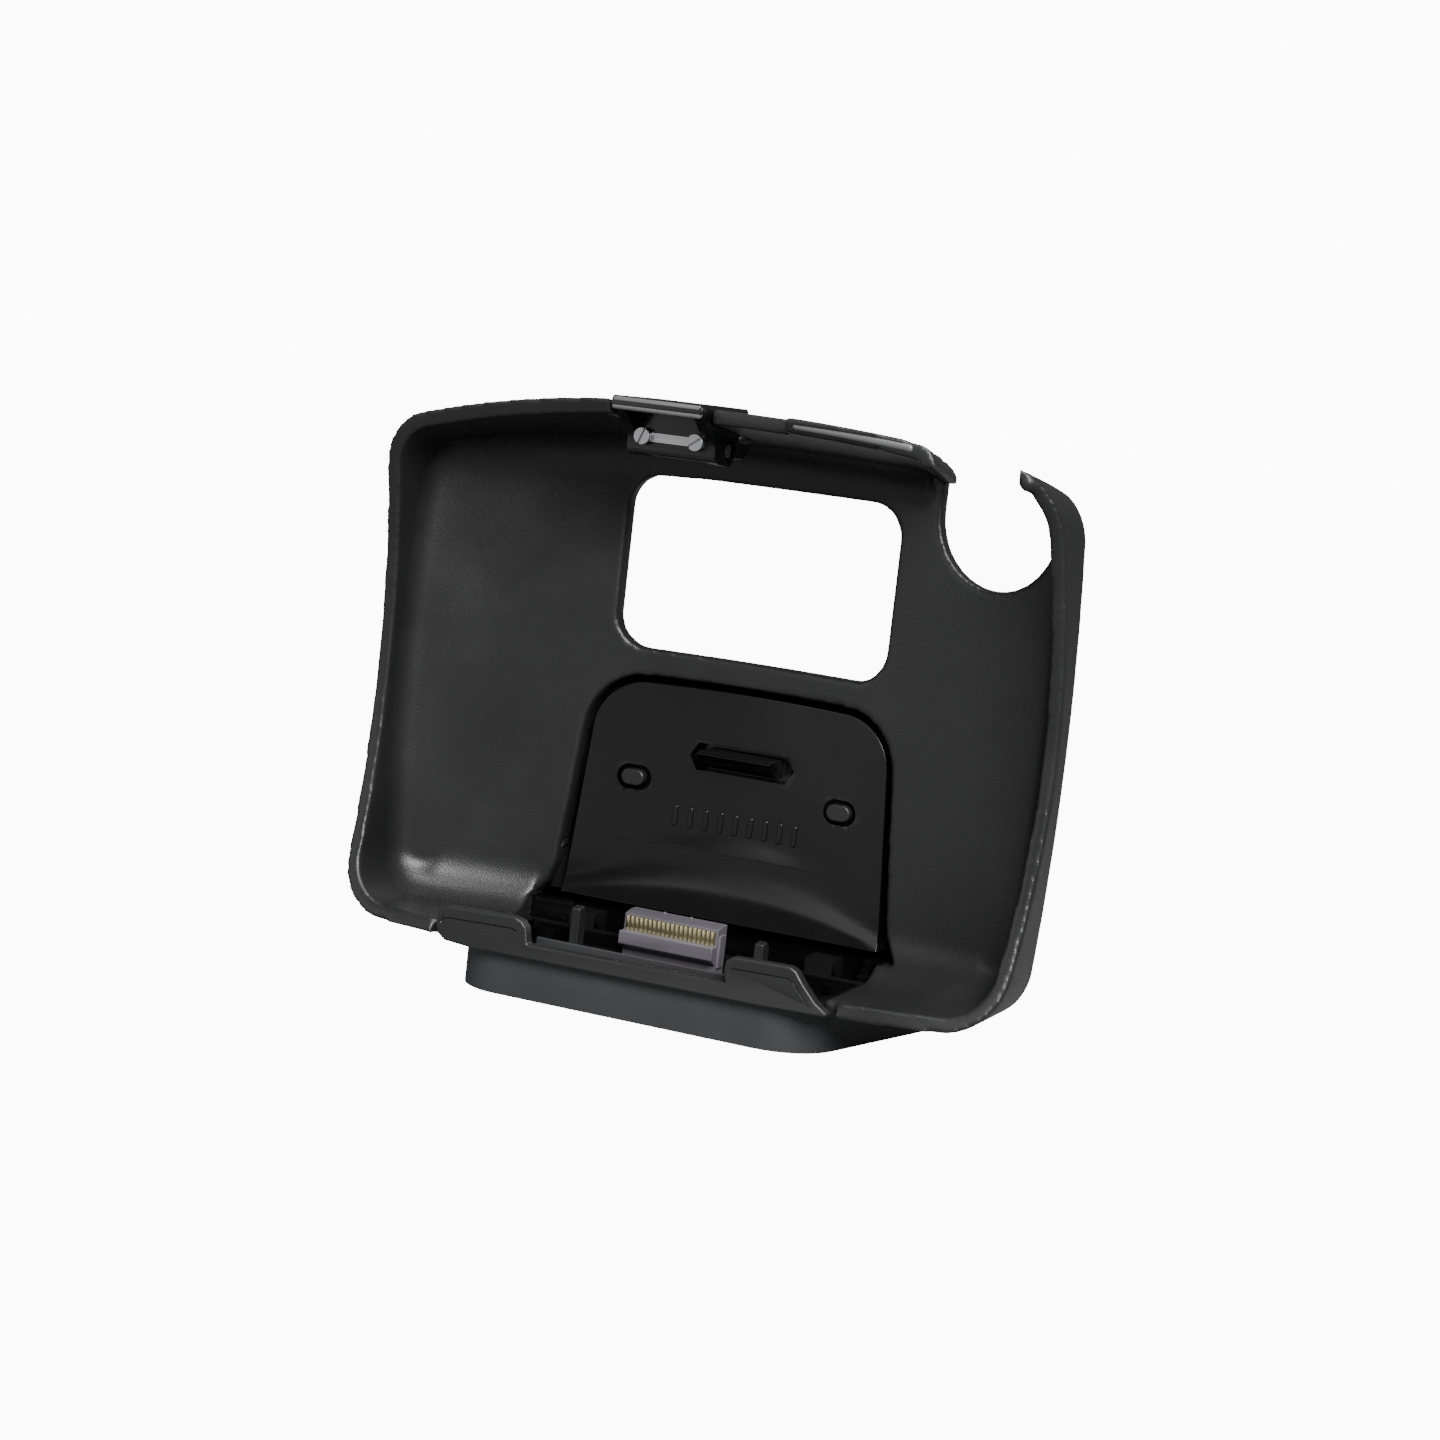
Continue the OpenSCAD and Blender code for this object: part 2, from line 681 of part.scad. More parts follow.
module main_board() {
    color([0.05, 0.3, 0.15]) seat() difference() {
        intersection() {
            block([-25.4, -20.5, board_top - board_t], [28, 14.4, board_top]);
            in_plan(housing_wall + 0.25, -housing_base, 0);
        }
        for (p = housing_screw_at) rod_z(2.8, p[0], p[1], -deep, deep);
        for (p = board_screw_at) rod_z(0.95, p[0], p[1], -deep, deep, fn_small);
    }
}

module board_screws() {
    color([0.5, 0.5, 0.52]) seat()
        for (p = board_screw_at)
            translate([p[0], p[1], board_top - board_t]) rotate([180, 0, 0]) screw(board_screw, board_t + 1.4);
}

// Flat chip with bevelled legs on two sides
module chip(x, y, size, height, legs) {
    block([x - size[0] / 2, y - size[1] / 2, board_top + 0.2], [x + size[0] / 2, y + size[1] / 2, board_top + height]);
    for (i = [0:legs - 1], s = [-1, 1]) {
        leg_x = x - size[0] / 2 + size[0] * (i + 0.5) / legs;
        block([leg_x - 0.2, y + s * (size[1] / 2 + 0.4) - 0.5, board_top],
            [leg_x + 0.2, y + s * (size[1] / 2 + 0.4) + 0.5, board_top + 0.5]);
    }
}

module voltage_regulator() {
    color([0.08, 0.08, 0.08]) seat() chip(-5, 8.4, [6, 3], 1.7, 3);
}

module interface_chip() {
    color([0.08, 0.08, 0.08]) seat() chip(3.5, 8.4, [7, 3], 1.3, 6);
}

module power_inductor() {
    color([0.2, 0.2, 0.2]) seat() {
        block([-14.6, 7.4, board_top], [-9.8, 12.2, board_top + 1]);
        rod_z(2.2, -12.2, 9.8, board_top + 1 - eps, board_top + 3.6);
        block([-14.6, 7.4, board_top + 3.6 - eps], [-9.8, 12.2, board_top + 4]);
    }
}

module filter_capacitors() {
    can_h = 5.5;
    color([0.3, 0.32, 0.4]) seat()
        for (x = [13.6, 25.9]) rod_z(1.9, x, 9.6, board_top, board_top + can_h);
}

module power_socket() {
    color([0.05, 0.05, 0.05]) seat() difference() {
        block([power_x - 4.2, 7.4, board_top], [power_x + 4.2, cover_back - cover_wall - 0.1, power_z + 3.7]);
        rod_y(power_bore, power_x, 8.4, cover_back, power_z);
    }
}

module antenna_socket() {
    color([0.75, 0.62, 0.3]) seat() difference() {
        union() {
            block([aerial_x - 2.4, 8, board_top], [aerial_x + 2.4, 11, aerial_z + 2.4]);
            rod_y(2.3, aerial_x, 10, 16, aerial_z);
        }
        rod_y(aerial_bore, aerial_x, 11.5, 17, aerial_z);
    }
}

// Catch -------------------------------------------------------------------

// Cheek of the lever in Y and Z: full under the hood, waisted down to the boss
cheek_points = [[-26.6, 82.8], [-25.3, 81.9], [-23.6, 80.5], [-21.6, 79.2], [-20.5, 78.4], [-20.3, 76.2],
    [-18.8, 75.5], [catch_y, catch_z - boss_r], [catch_y + boss_r - 0.2, catch_z + 1], [-10.8, 80.4], [-9.2, 82.8]];
hood_points = [[-27.3, 82.6], [-27.7, 83.3], [-27.6, 84.2], [-27, 84.65], [-9.3, 84.4], [-8.7, 83.8], [-9, 82.4]];

module catch_lever() {
    left = catch_x - lever_half;
    right = catch_x + lever_half;
    recess = 0.5;
    color([0.07, 0.07, 0.075]) seat() difference() {
        union() {
            bar(hood_points, left, right);
            for (x = [left, right - cheek_t]) {
                bar(cheek_points, x, x + cheek_t);
                rod_x(boss_r, x, x + cheek_t, catch_y, catch_z);
            }
            block([left + eps, bar_y - 0.9, catch_z - 1], [right - eps, bar_y + 0.9, 82.8]);
            rod_x(0.9, left + eps, right - eps, bar_y, catch_z - 1);
        }
        rod_x(pin_r + pin_fit, left - 1, right + 1, catch_y, catch_z);
        rod_x(boss_r - 0.5, left - 1, left + recess, catch_y, catch_z);
        rod_x(boss_r - 0.5, right - recess, right + 1, catch_y, catch_z);
        for (s = [-1, 1]) rod_y(0.5, catch_x + s * strip_screw_x, bar_y - 2, bar_y + 0.6, strip_z, fn_small);
    }
}

module catch_pin() {
    color([0.6, 0.6, 0.62]) seat()
        rod_x(pin_r, catch_x - lever_half + 0.15, catch_x + lever_half - 0.15, catch_y, catch_z);
}

// Torsion spring between the two halves of the knuckle, round the pin
spring_half = 2.4;
module catch_spring() {
    color([0.7, 0.7, 0.72]) seat()
        translate([catch_x - spring_half + 0.15, catch_y, catch_z]) rotate([0, 0, -90])
            ring_spring(1.62, 0.24, 2 * spring_half - 0.3, 7);
}

module catch_strip() {
    front = bar_y - 0.92;
    color([0.75, 0.75, 0.77]) seat() difference() {
        block([catch_x - 5.7, front - 0.45, strip_z - 0.75], [catch_x + 5.7, front, strip_z + 0.65]);
        for (s = [-1, 1]) rod_y(0.5, catch_x + s * strip_screw_x, front - 2, front + 2, strip_z, fn_small);
    }
}

// Slotted screws that hold the strip
module catch_screws() {
    head_r = 1.35;
    seat_y = bar_y - 1.39;
    color([0.78, 0.78, 0.8]) seat()
        for (s = [-1, 1]) translate([catch_x + s * strip_screw_x, seat_y, strip_z]) rotate([90, 0, 0]) difference() {
            union() {
                rod_z(head_r, 0, 0, 0, 1, fn_small);
                rod_z(0.48, 0, 0, -1.9, eps, fn_small);
            }
            rotate([0, 0, s < 0 ? 68 : 38]) block([-2, -0.16, 0.55], [2, 0.16, 2]);
        }
}

cradle_shell();
front_sill();
lower_housing();
dock_tray();
tray_strip();
dock_plate();
stud_rings();
locating_studs();
latch_tongue();
tongue_spring();
tongue_retainer();
retainer_screws();
plate_screws();
tray_screws();
guide_tabs();
connector_body();
connector_contacts();
main_board();
board_screws();
voltage_regulator();
power_inductor();
filter_capacitors();
interface_chip();
power_socket();
antenna_socket();
housing_screws();
rear_cover();
mount_plate();
mount_inserts();
cover_screws();
catch_lever();
catch_pin();
catch_spring();
catch_strip();
catch_screws();
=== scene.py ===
import math

import bmesh
import bpy
from mathutils import Matrix, Vector


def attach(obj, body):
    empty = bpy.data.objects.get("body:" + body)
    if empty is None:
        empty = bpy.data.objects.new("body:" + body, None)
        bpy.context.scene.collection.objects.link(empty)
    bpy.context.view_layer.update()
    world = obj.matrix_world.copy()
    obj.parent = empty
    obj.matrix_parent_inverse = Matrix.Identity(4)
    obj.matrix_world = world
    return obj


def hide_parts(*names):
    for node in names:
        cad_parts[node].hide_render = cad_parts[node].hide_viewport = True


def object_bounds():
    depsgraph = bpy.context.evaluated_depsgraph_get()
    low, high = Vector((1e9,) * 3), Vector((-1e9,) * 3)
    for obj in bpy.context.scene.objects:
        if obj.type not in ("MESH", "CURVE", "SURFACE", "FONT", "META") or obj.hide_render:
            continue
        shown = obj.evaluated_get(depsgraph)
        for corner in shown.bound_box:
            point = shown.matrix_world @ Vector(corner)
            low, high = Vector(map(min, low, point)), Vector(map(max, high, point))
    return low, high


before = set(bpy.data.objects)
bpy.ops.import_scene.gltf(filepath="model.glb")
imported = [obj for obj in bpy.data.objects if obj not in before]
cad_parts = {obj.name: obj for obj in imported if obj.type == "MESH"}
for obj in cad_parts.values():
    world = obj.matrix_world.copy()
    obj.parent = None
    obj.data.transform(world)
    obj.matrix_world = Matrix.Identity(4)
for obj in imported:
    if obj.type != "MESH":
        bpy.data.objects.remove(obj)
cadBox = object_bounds()
print("frame loaded:", len(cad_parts), "nodes")

mm = 0.001
foot = Vector((0, -18.5, -19))  # mm, the dock plate's foot in the frame; pieces are drawn from it
spot = Matrix.Scale(mm, 4) @ Matrix.Translation(foot)


view = {
    "turn": 22.846,  # degrees to the cradle's right
    "rise": 7.267,
    "lean": 6.449,
    "across": -2.909,  # mm, along the view's own right
    "up": 33.086,
    "away": 496.074,
    "lens": 75,
}


def placeCamera():
    turn, rise, lean = (math.radians(view[k]) for k in ("turn", "rise", "lean"))
    right = Vector((math.cos(turn), math.sin(turn), 0))
    back = Vector((math.sin(turn) * math.cos(rise), -math.cos(turn) * math.cos(rise), math.sin(rise)))
    up = back.cross(right)
    sideways = right * math.cos(lean) + up * math.sin(lean)
    upwards = up * math.cos(lean) - right * math.sin(lean)
    stand = right * view["across"] + up * view["up"] + back * view["away"]
    lensData = bpy.data.cameras.new("camera")
    lensData.lens = view["lens"]
    lensData.sensor_width = 36
    lensData.clip_start = 0.01
    camera = bpy.data.objects.new("camera", lensData)
    bpy.context.scene.collection.objects.link(camera)
    turned = Matrix((sideways, upwards, back)).transposed().to_4x4()
    camera.matrix_world = Matrix.Translation((stand + foot) * mm) @ turned
    bpy.context.scene.camera = camera


placeCamera()
print("camera placed")


surface = {
    "driftSize": 70,  # how often colour and roughness drift, per metre
    "driftShare": 0.12,
    "grainSize": 0.25,  # mm
    "wear": 0.5,
    "wearGain": 1.6,
    "wearFrom": 0.53,  # pointiness at which an edge starts to look rubbed
    "wearTo": 0.62,
}


def moulded(name, colour, rough, spread=0.06, grain=0.05, shine=0.5, metal=0.0):
    # colour and roughness drift a little, edges are rubbed lighter, and a fine grain lies in the bump
    finish = bpy.data.materials.new(name)
    finish.use_nodes = True
    nodes, links = finish.node_tree.nodes, finish.node_tree.links
    shader = nodes["Principled BSDF"]
    shader.inputs["Metallic"].default_value = metal
    shader.inputs["Specular IOR Level"].default_value = shine
    place = nodes.new("ShaderNodeTexCoord")
    cloud = nodes.new("ShaderNodeTexNoise")
    cloud.inputs["Scale"].default_value = surface["driftSize"]
    cloud.inputs["Detail"].default_value = 5
    links.new(place.outputs["Object"], cloud.inputs["Vector"])
    fine = nodes.new("ShaderNodeTexNoise")
    fine.inputs["Scale"].default_value = 1 / (surface["grainSize"] * mm)
    fine.inputs["Detail"].default_value = 3
    links.new(place.outputs["Object"], fine.inputs["Vector"])
    drift = nodes.new("ShaderNodeMapRange")
    drift.inputs["From Min"].default_value = 0.3
    drift.inputs["From Max"].default_value = 0.7
    drift.inputs["To Min"].default_value = rough - spread
    drift.inputs["To Max"].default_value = rough + spread
    links.new(cloud.outputs["Fac"], drift.inputs["Value"])
    links.new(drift.outputs["Result"], shader.inputs["Roughness"])
    shade = nodes.new("ShaderNodeValToRGB")
    shade.color_ramp.elements[0].position = 0.3
    shade.color_ramp.elements[0].color = (*(c * (1 - surface["driftShare"]) for c in colour), 1)
    shade.color_ramp.elements[1].position = 0.7
    shade.color_ramp.elements[1].color = (*(min(1, c * (1 + surface["driftShare"])) for c in colour), 1)
    links.new(cloud.outputs["Fac"], shade.inputs["Fac"])
    edges = nodes.new("ShaderNodeNewGeometry")
    rub = nodes.new("ShaderNodeMapRange")
    rub.inputs["From Min"].default_value = surface["wearFrom"]
    rub.inputs["From Max"].default_value = surface["wearTo"]
    rub.inputs["To Max"].default_value = surface["wear"]
    links.new(edges.outputs["Pointiness"], rub.inputs["Value"])
    worn = nodes.new("ShaderNodeMix")
    worn.data_type = "RGBA"
    worn.inputs["B"].default_value = (*(min(1, c * surface["wearGain"] + 0.01) for c in colour), 1)
    links.new(rub.outputs["Result"], worn.inputs["Factor"])
    links.new(shade.outputs["Color"], worn.inputs["A"])
    links.new(worn.outputs["Result"], shader.inputs["Base Color"])
    skin = nodes.new("ShaderNodeBump")
    skin.inputs["Strength"].default_value = grain
    skin.inputs["Distance"].default_value = surface["grainSize"] * mm
    links.new(fine.outputs["Fac"], skin.inputs["Height"])
    links.new(skin.outputs["Normal"], shader.inputs["Normal"])
    return finish


finishes = {
    "shell_black": moulded("shellBlack", (0.0125, 0.0125, 0.013), 0.36, grain=0.2, shine=0.38),
    "gloss_black": moulded("glossBlack", (0.0025, 0.0025, 0.0025), 0.22, spread=0.04, grain=0.02, shine=0.5),
    # the tray's black plastic made darker and duller than the shell: partly its own black, partly painted
    # shade in the trough; pieces in shade take it too
    "tray_black": moulded("trayBlackPaintedShade", (0.0008, 0.0008, 0.0009), 0.7, grain=0.2, shine=0.05),
    "housing_grey": moulded("housingGrey", (0.026, 0.027, 0.0295), 0.5, grain=0.3, shine=0.35),
    "connector_grey": moulded("connectorGrey", (0.07, 0.064, 0.075), 0.42, grain=0.1),
    "contact_gold": moulded("contactGold", (0.85, 0.72, 0.42), 0.25, metal=1, grain=0.03),
    "strip_steel": moulded("stripSteel", (0.42, 0.42, 0.43), 0.3, metal=1, grain=0.05),
    "screw_steel": moulded("screwSteel", (0.45, 0.45, 0.46), 0.32, metal=1, grain=0.05),
    "spring_steel": moulded("springSteel", (0.5, 0.5, 0.51), 0.3, metal=1, grain=0.03),
    "plate_steel": moulded("plateSteel", (0.48, 0.49, 0.5), 0.4, metal=1, grain=0.1),
    "insert_brass": moulded("insertBrass", (0.7, 0.5, 0.2), 0.3, metal=1, grain=0.05),
    "board_green": moulded("boardGreen", (0.015, 0.09, 0.035), 0.35, grain=0.1),
    "chip_black": moulded("chipBlack", (0.015, 0.015, 0.016), 0.5, grain=0.2),
    "ferrite_grey": moulded("ferriteGrey", (0.05, 0.05, 0.052), 0.6, grain=0.3),
    "can_aluminium": moulded("canAluminium", (0.75, 0.75, 0.76), 0.3, metal=1, grain=0.05),
}
# a dark brown sheet behind the contacts: painted shade in the gaps between them
contactGapShadow = moulded("contactGapShadow", (0.03, 0.022, 0.008), 0.45, grain=0.05)
# a lighter grey copy of the black plastic: a painted highlight along the rim and hood beads
paintedHighlightGrey = moulded("paintedHighlightGrey", (0.09, 0.09, 0.092), 0.3, grain=0.05, shine=0.8)
stripGrey = moulded("stripGrey", (0.016, 0.016, 0.018), 0.45, grain=0.1)

slotOf = {}
for nodeName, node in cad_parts.items():
    slotOf[nodeName] = node.data.materials[0].name.split(".")[0]
    node.data.materials.clear()
    node.data.materials.append(finishes[slotOf[nodeName]])
print("finishes made:", len(finishes), "slots read for", len(slotOf), "nodes")


def addMesh(name, bm, body, slotName, hides, flat=35):
    # the finished piece sits at the origin with its place in its mesh
    bm.transform(spot)
    bmesh.ops.recalc_face_normals(bm, faces=bm.faces)
    mesh = bpy.data.meshes.new(name)
    bm.to_mesh(mesh)
    bm.free()
    return addPiece(name, mesh, body, slotName, hides, flat)


def addPiece(name, mesh, body, slotName, hides, flat=35):
    for face in mesh.polygons:
        face.use_smooth = True
    mesh.set_sharp_from_angle(angle=math.radians(flat))
    mesh.materials.clear()
    mesh.materials.append(finishes[slotName])
    piece = bpy.data.objects.new(name, mesh)
    bpy.context.scene.collection.objects.link(piece)
    even = piece.modifiers.new("even", "WEIGHTED_NORMAL")
    even.keep_sharp = True
    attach(piece, body)
    if hides:
        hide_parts(*hides)
    return piece


def bevelEdges(bm, edges, width, rounds=3):
    bmesh.ops.bevel(bm, geom=list(edges), offset=width, offset_type="OFFSET", affect="EDGES",
                    segments=rounds, profile=0.5, material=-1, clamp_overlap=True)


def sharpEdges(bm, angle=32, keep=None):
    found = []
    for edge in bm.edges:
        if len(edge.link_faces) == 2 and edge.calc_face_angle(0) > math.radians(angle):
            if keep is None or keep((edge.verts[0].co + edge.verts[1].co) / 2):
                found.append(edge)
    return found


def loft(bm, rings):
    # rings of points joined one to the next, and the ends filled
    loops = []
    for ring in rings:
        verts = [bm.verts.new(p) for p in ring]
        loops.append([bm.edges.new((verts[i], verts[(i + 1) % len(verts)])) for i in range(len(verts))])
    for first, second in zip(loops, loops[1:]):
        bmesh.ops.bridge_loops(bm, edges=first + second)
    bmesh.ops.edgeloop_fill(bm, edges=loops[0])
    bmesh.ops.edgeloop_fill(bm, edges=loops[-1])
    bmesh.ops.recalc_face_normals(bm, faces=bm.faces)


def slab(bm, points, push):
    # a flat outline pushed into a solid
    face = bm.faces.new([bm.verts.new(p) for p in points])
    grown = bmesh.ops.extrude_face_region(bm, geom=[face])["geom"]
    bmesh.ops.translate(bm, verts=[v for v in grown if isinstance(v, bmesh.types.BMVert)], vec=push)
    bmesh.ops.recalc_face_normals(bm, faces=bm.faces)


def nodeCopy(nodeName):
    # a CAD node's mesh in mm from the plate's foot, with its doubles merged
    bm = bmesh.new()
    bm.from_mesh(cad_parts[nodeName].data)
    bm.transform(spot.inverted())
    bmesh.ops.remove_doubles(bm, verts=bm.verts, dist=0.002)
    return bm


def softCopy(name, nodeName, body, width):
    # the CAD node with its flat faces whole and its sharp edges rounded
    bm = nodeCopy(nodeName)
    bmesh.ops.dissolve_limit(bm, angle_limit=math.radians(0.4), verts=bm.verts, edges=bm.edges)
    bevelEdges(bm, sharpEdges(bm), width)
    bmesh.ops.remove_doubles(bm, verts=bm.verts, dist=0.0005)
    return addMesh(name, bm, body, slotOf[nodeName], [nodeName])


def scratch(name, bm):
    mesh = bpy.data.meshes.new(name)
    bm.to_mesh(mesh)
    bm.free()
    thing = bpy.data.objects.new(name, mesh)
    bpy.context.scene.collection.objects.link(thing)
    return thing


def settled(thing, name):
    # the mesh with its modifiers worked in
    bpy.context.view_layer.update()
    seen = thing.evaluated_get(bpy.context.evaluated_depsgraph_get())
    mesh = bpy.data.meshes.new_from_object(seen)
    mesh.name = name
    return mesh


def cut(thing, other, how):
    step = thing.modifiers.new(how.lower(), "BOOLEAN")
    step.operation = how
    step.solver = "EXACT"
    step.object = other


shell = {
    "half": 59.3,
    "waist": 37,
    "sideBulge": 430,
    "top": 84.7,
    "crownLeft": 210,
    "crownRight": 400,
    "base": -6.7,
    "baseBulge": 800,
    "corner": 10,
    "wall": 2.4,
    "rimY": -27,
    "topSlope": math.tan(math.radians(8)),
    "dishAxis": -117,
    "dishInner": 120,
    "dishOuter": 123,
    "hollowTop": 6.0,
    "hollowBase": 7.5,
    "hollowSide": 2.6,
    "roundOuter": 2.2,
    "mouthFront": (38.4, -27.5),
    "mouthBack": (33.2, -1.0),
    "mouthRound": 3.3,
    "mouthStart": 29.0,
    "hookTip": (52.3, -25.2, 79.1),
    "hookRound": 1.45,
    "grid": 0.44,
    "smoothing": 9,
    "keep": 0.38,
}


def shellSide(z, inset):
    return shell["half"] - inset - (z - shell["waist"]) ** 2 / (2 * shell["sideBulge"])


def shellTop(x, inset):
    bulge = shell["crownLeft"] if x < 0 else shell["crownRight"]
    return shell["top"] - inset - x * x / (2 * bulge)


def shellBase(x, inset):
    return shell["base"] + inset + x * x / (2 * shell["baseBulge"])


def shellPath(inset):
    # the outline from the base's middle round by the right, as x, z, inward x, inward z
    # and the share of the top's slope
    r = shell["corner"] - inset
    path = []
    corners = []
    for side, edge in ((1, shellBase), (1, shellTop), (-1, shellTop), (-1, shellBase)):
        low = edge is shellBase
        cx, cz = side * 48.0, 3.0 if low else 72.0
        for _ in range(30):
            cz = edge(cx, inset) + (r if low else -r)
            cx = side * (shellSide(cz, inset) - r)
        corners.append((cx, cz))
    (ax, az), (bx, bz), (cx, cz), (dx, dz) = corners
    steps = 40

    def straight(x0, x1, edge, down):
        for i in range(steps + 1):
            x = x0 + (x1 - x0) * i / steps
            path.append((x, edge(x, inset), 0, 1 if down else -1, 0 if down else 1))

    def turn(px, pz, fromAngle, high):
        for i in range(1, 12):
            angle = math.radians(fromAngle + 90 * i / 12)
            path.append((px + r * math.cos(angle), pz + r * math.sin(angle),
                         -math.cos(angle), -math.sin(angle), high))

    def upright(z0, z1, side):
        for i in range(steps + 1):
            z = z0 + (z1 - z0) * i / steps
            share = max(0, (z - shell["waist"]) / (bz - shell["waist"]))
            path.append((side * shellSide(z, inset), z, -side, 0, share))

    straight(0, ax, shellBase, True)
    turn(ax, az, -90, 0)
    upright(az, bz, 1)
    turn(bx, bz, 0, 1)
    straight(bx, cx, shellTop, False)
    turn(cx, cz, 90, 1)
    upright(cz, dz, -1)
    turn(dx, dz, 180, 0)
    straight(dx, 0, shellBase, True)
    return path


def dishY(x, radius):
    return shell["dishAxis"] + math.sqrt(radius * radius - x * x)


def cornerStrip(bm, inset, dish, radiusAt, spill, keepAt):
    # what lies between the corner of wall and back and a round that touches both
    run = []
    runs = []
    for x, z, nx, nz, share in shellPath(inset):
        if not keepAt(x, z):
            if len(run) > 1:
                runs.append(run)
            run = []
            continue
        r = radiusAt(x, z, nz)
        ring = []
        spots = [(-spill, -spill), (-spill, r)]
        for i in range(9):
            angle = math.radians(90 * i / 8)
            spots.append((r * (1 - math.cos(angle)), r * (1 - math.sin(angle))))
        spots.append((r, -spill))
        for inward, depth in spots:
            px = x + nx * inward
            y = dishY(max(-119, min(119, px)), dish) - depth
            pz = z + nz * inward - shell["topSlope"] * (y - shell["rimY"]) * share
            ring.append(Vector((px, y, pz)))
        run.append(ring)
    if len(run) > 1:
        runs.append(run)
    for rings in runs:
        loft(bm, rings)


def shellOpenings():
    # the trough and the dock plate's opening
    trough = bmesh.new()
    corners = ((-33, -30), (29.5, -30), (29.5, -1.5), (26, -1.5),
               (26, 2.6), (-26, 2.6), (-26, -1.5), (-33, -1.5))
    slab(trough, [Vector((x, y, -12)) for x, y in corners], Vector((0, 0, 11)))
    arch = bmesh.new()
    half = [(33.2, -1.4), (31.1, 1.2), (30.2, 3), (29.8, 5)]
    for i in range(13):
        angle = math.radians(3 + 77 * i / 12)
        half.append((17.4 + 10.2 * math.cos(angle), 28.2 + 10.2 * math.sin(angle)))
    outline = half + [(0, 38.6)] + [(-x, z) for x, z in reversed(half)]
    slab(arch, [Vector((x, -9, z)) for x, z in outline], Vector((0, 22, 0)))
    return [scratch("shellTrough", trough), scratch("shellArch", arch)]


def mouthEnd():
    # the top wall's end at the notch slants back and curls down, and a ball rounds the hook's tip
    bm = bmesh.new()
    rings = []
    wall, r = shell["wall"], shell["mouthRound"]
    for i in range(9):
        y = shell["mouthFront"][1] + (shell["mouthBack"][1] - shell["mouthFront"][1]) * i / 8
        x1 = shell["mouthFront"][0] + (shell["mouthBack"][0] - shell["mouthFront"][0]) * i / 8
        drop = shell["topSlope"] * (y - shell["rimY"])
        start = shell["mouthStart"]
        top = shellTop(x1, 0) - drop
        ring = [Vector((start, y, shellTop(start, 0) - drop))]
        for k in range(9):
            angle = math.radians(90 - 90 * k / 8)
            ring.append(Vector((x1 - r + r * math.cos(angle), y, top - r + r * math.sin(angle))))
        for k in range(9):
            angle = math.radians(90 * k / 8)
            inner = r - wall
            ring.append(Vector((x1 - r + inner * math.cos(angle), y, top - r + inner * math.sin(angle))))
        ring.append(Vector((start, y, shellTop(start, 0) - drop - wall)))
        rings.append(ring)
    loft(bm, rings)
    tip = bmesh.ops.create_uvsphere(bm, u_segments=24, v_segments=12, radius=shell["hookRound"])["verts"]
    bmesh.ops.translate(bm, verts=tip, vec=shell["hookTip"])
    return scratch("shellMouth", bm)


def makeShell():
    core = scratch("shellCore", nodeCopy("cradle_shell"))
    inner = bmesh.new()
    cornerStrip(
        inner, shell["wall"], shell["dishInner"],
        lambda x, z, nz: shell["hollowSide"] + ((shell["hollowTop"] if z > 40 else shell["hollowBase"])
                                                - shell["hollowSide"]) * nz * nz,
        0.7,
        lambda x, z: not (z < 20 and -31.5 < x < 28) and not (z > 60 and 30.5 < x < 53.5),
    )
    hollow = scratch("shellHollow", inner)
    outer = bmesh.new()
    cornerStrip(
        outer, 0, shell["dishOuter"],
        lambda x, z, nz: 0.8 if z < 5 and abs(x) < 38 else shell["roundOuter"],
        0.8,
        lambda x, z: True,
    )
    waste = scratch("shellWaste", outer)
    cut(core, hollow, "UNION")
    cut(core, waste, "DIFFERENCE")
    mouth = mouthEnd()
    cut(core, mouth, "UNION")
    openings = shellOpenings()
    for opening in openings:
        cut(core, opening, "DIFFERENCE")
    remesh = core.modifiers.new("remesh", "REMESH")
    remesh.mode = "VOXEL"
    remesh.voxel_size = shell["grid"]
    smooth = core.modifiers.new("smooth", "SMOOTH")
    smooth.factor = 0.5
    smooth.iterations = shell["smoothing"]
    thin = core.modifiers.new("thin", "DECIMATE")
    thin.ratio = shell["keep"]
    mesh = settled(core, "shell")
    for thing in [core, hollow, waste, mouth] + openings:
        bpy.data.objects.remove(thing)
    shadedLedge = [f.index for f in mesh.polygons
             if -33.5 < f.center.x < 30.5 and -2.2 < f.center.y < 3.2 and f.center.z < -1.0]
    mesh.transform(spot)
    print("shell has", len(mesh.polygons), "faces")
    piece = addPiece("shell", mesh, "cradle", "shell_black", ["cradle_shell"], flat=60)
    piece.data.materials.append(finishes["tray_black"])  # the ledge under the plate's foot takes the near-black, dull tray finish as painted shade under the plate
    for index in shadedLedge:
        piece.data.polygons[index].material_index = 1


makeShell()
print("shell made")


bead = {
    "round": 0.6,
    "rimFrom": 15.3,
    "rimTo": 34.0,
    "rimBelow": 1.2,
    "rimFront": -27.15,
    "hoodFrom": -15.3,
    "hoodTo": -0.9,
    "hoodFront": -27.15,
    "hoodUp": (84.0, 82.95),
    "hoodRound": 0.5,
}
# where the near-black sheet of painted shadow stands, in mm
shadowSheet = {"left": 15, "right": 31, "low": -5, "high": 0.6, "front": 5.6, "thick": 0.4}


def rod(bm, path, radius):
    # a round bead along a path, with domed ends
    rings = []
    first, last = path[0], path[-1]
    ends = [math.radians(90 * i / 6) for i in range(1, 7)]
    out = (path[1] - first).normalized() * radius
    on = (last - path[-2]).normalized() * radius
    spots = [(first - out * math.cos(a), radius * math.sin(a)) for a in ends]
    spots += [(p, radius) for p in path[1:-1]]
    spots += [(last + on * math.cos(a), radius * math.sin(a)) for a in reversed(ends)]
    for centre, r in spots:
        turns = [math.radians(15 * k) for k in range(24)]
        rings.append([centre + Vector((0, r * math.cos(t), r * math.sin(t))) for t in turns])
    loft(bm, rings)


